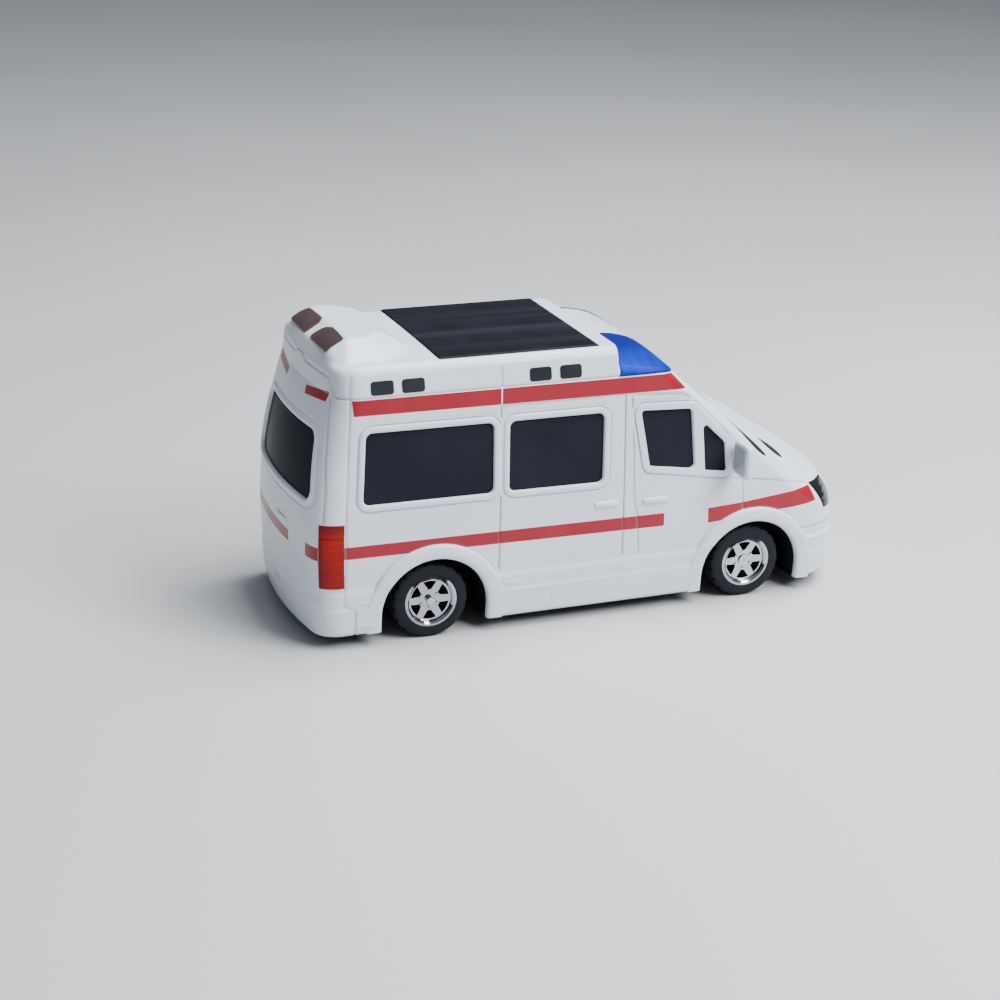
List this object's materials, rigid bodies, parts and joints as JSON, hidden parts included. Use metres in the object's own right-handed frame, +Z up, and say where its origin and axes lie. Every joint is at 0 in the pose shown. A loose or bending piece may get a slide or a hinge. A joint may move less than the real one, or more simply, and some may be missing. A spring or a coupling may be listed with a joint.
{
  "type": "toy ambulance",
  "caption": "Toy ambulance van with a glossy moulded body, raised roof hump and beacons, driven rear axle and steered front wheels.",
  "frame": {"origin": "middle of the footprint on the floor under the tyres", "axes": "+X to the nose, +Y to the left side, +Z up"},
  "size_m": [0.2472, 0.122, 0.1215],
  "materials": {
    "body_white": "glossy moulded white",
    "panel_black": "glossy black",
    "lens_blue": "clear blue",
    "lens_brown": "dark red-brown, clear",
    "trim_black": "satin black",
    "glass_dark": "dark smoked",
    "lamp_red": "clear red",
    "mirror_face": "silvered",
    "chassis_black": "fine moulded grain",
    "screw_steel": "bright plated",
    "cell_jacket": "printed jacket",
    "gear_ivory": "natural",
    "rim_chrome": "bright chrome on plastic",
    "tyre_black": "soft black rubber",
    "switch_red": "satin",
    "board_green": "lacquered board",
    "led_clear": "water clear"
  },
  "bodies": {
    "van": {"body_shell": "body_white", "roof_cap": "body_white", "mirror_right": "body_white", "mirror_left": "body_white", "roof_panel": "panel_black", "front_beacon_lens_right": "lens_blue", "front_beacon_lens_left": "lens_blue", "rear_beacon_lens_right": "lens_brown", "rear_beacon_lens_left": "lens_brown", "roof_vents_right": "trim_black", "roof_vents_left": "trim_black", "grille": "trim_black", "side_glazing_right": "glass_dark", "side_glazing_left": "glass_dark", "windscreen": "glass_dark", "rear_window": "glass_dark", "headlamp_right": "glass_dark", "headlamp_left": "glass_dark", "tail_lamp_right": "lamp_red", "tail_lamp_left": "lamp_red", "mirror_glass_right": "mirror_face", "mirror_glass_left": "mirror_face", "chassis": "chassis_black", "steering_servo": "chassis_black", "gearbox_case": "chassis_black", "front_bracket": "chassis_black", "body_screws": "screw_steel", "idler_pin": "screw_steel", "battery_contacts": "screw_steel", "switch_body": "screw_steel", "drive_motor": "screw_steel", "battery_cells": "cell_jacket", "circuit_board": "board_green", "beacon_leds": "led_clear"},
    "rear_wheelset": {"rear_axle": "screw_steel", "axle_gear": "gear_ivory", "rear_rim_right": "rim_chrome", "rear_rim_left": "rim_chrome", "rear_tyre_right": "tyre_black", "rear_tyre_left": "tyre_black"},
    "idler": {"idler_gear": "gear_ivory"},
    "motor_rotor": {"motor_shaft": "screw_steel", "motor_pinion": "gear_ivory"},
    "knuckle_right": {"steering_knuckle_right": "chassis_black", "hub_screw_right": "screw_steel"},
    "knuckle_left": {"steering_knuckle_left": "chassis_black", "hub_screw_left": "screw_steel"},
    "front_wheel_right": {"front_rim_right": "rim_chrome", "front_tyre_right": "tyre_black"},
    "front_wheel_left": {"front_rim_left": "rim_chrome", "front_tyre_left": "tyre_black"},
    "steering_link": {"steering_link": "chassis_black"},
    "steering_lever": {"steering_lever": "gear_ivory"},
    "power_switch": {"switch_slider": "switch_red"},
    "battery_cover": {"battery_door": "chassis_black", "battery_door_screw": "screw_steel"}
  },
  "joints": [
    {"name": "rear_axle_spin", "type": "hinge", "parent": "van", "child": "rear_wheelset", "pos_m": [-0.071, 0, 0.0157], "axis": [0, 1, 0], "continuous": true},
    {"name": "idler_spin", "type": "hinge", "parent": "van", "child": "idler", "pos_m": [-0.06654, 0, 0.02409], "axis": [0, 1, 0], "continuous": true},
    {"name": "motor_spin", "type": "hinge", "parent": "van", "child": "motor_rotor", "pos_m": [-0.05804, 0, 0.02409], "axis": [0, 1, 0], "continuous": true},
    {"name": "steer_left", "type": "hinge", "parent": "van", "child": "knuckle_left", "pos_m": [0.069, 0.025, 0.0157], "axis": [0, 0, 1], "range_deg": [-12, 12]},
    {"name": "steer_right", "type": "hinge", "parent": "van", "child": "knuckle_right", "pos_m": [0.069, -0.025, 0.0157], "axis": [0, 0, 1], "range_deg": [-12, 12]},
    {"name": "steering_link_slide", "type": "slide", "parent": "van", "child": "steering_link", "axis": [0, 1, 0], "range_m": [-0.0024, 0.0024]},
    {"name": "steering_lever_turn", "type": "hinge", "parent": "van", "child": "steering_lever", "pos_m": [0.046, 0, 0.024], "axis": [0, 0, 1], "range_deg": [-11.1, 11.1]},
    {"name": "front_wheel_spin_left", "type": "hinge", "parent": "knuckle_left", "child": "front_wheel_left", "pos_m": [0.069, 0.037, 0.0157], "axis": [0, 1, 0], "continuous": true},
    {"name": "front_wheel_spin_right", "type": "hinge", "parent": "knuckle_right", "child": "front_wheel_right", "pos_m": [0.069, -0.037, 0.0157], "axis": [0, 1, 0], "continuous": true},
    {"name": "switch_slide", "type": "slide", "parent": "van", "child": "power_switch", "axis": [1, 0, 0], "range_m": [0, 0.004]},
    {"name": "battery_cover_drop", "type": "slide", "parent": "van", "child": "battery_cover", "axis": [0, 0, -1], "range_m": [0, 0.004]}
  ],
  "couplings": [
    {"joint": "idler_spin", "follows": "rear_axle_spin", "ratio": -2.8},
    {"joint": "motor_spin", "follows": "rear_axle_spin", "ratio": 6.72},
    {"joint": "steer_right", "follows": "steer_left", "ratio": 1},
    {"joint": "steering_link_slide", "follows": "steer_left", "m_per_rad": -0.011},
    {"joint": "steering_lever_turn", "follows": "steer_left", "ratio": -0.91667}
  ]
}
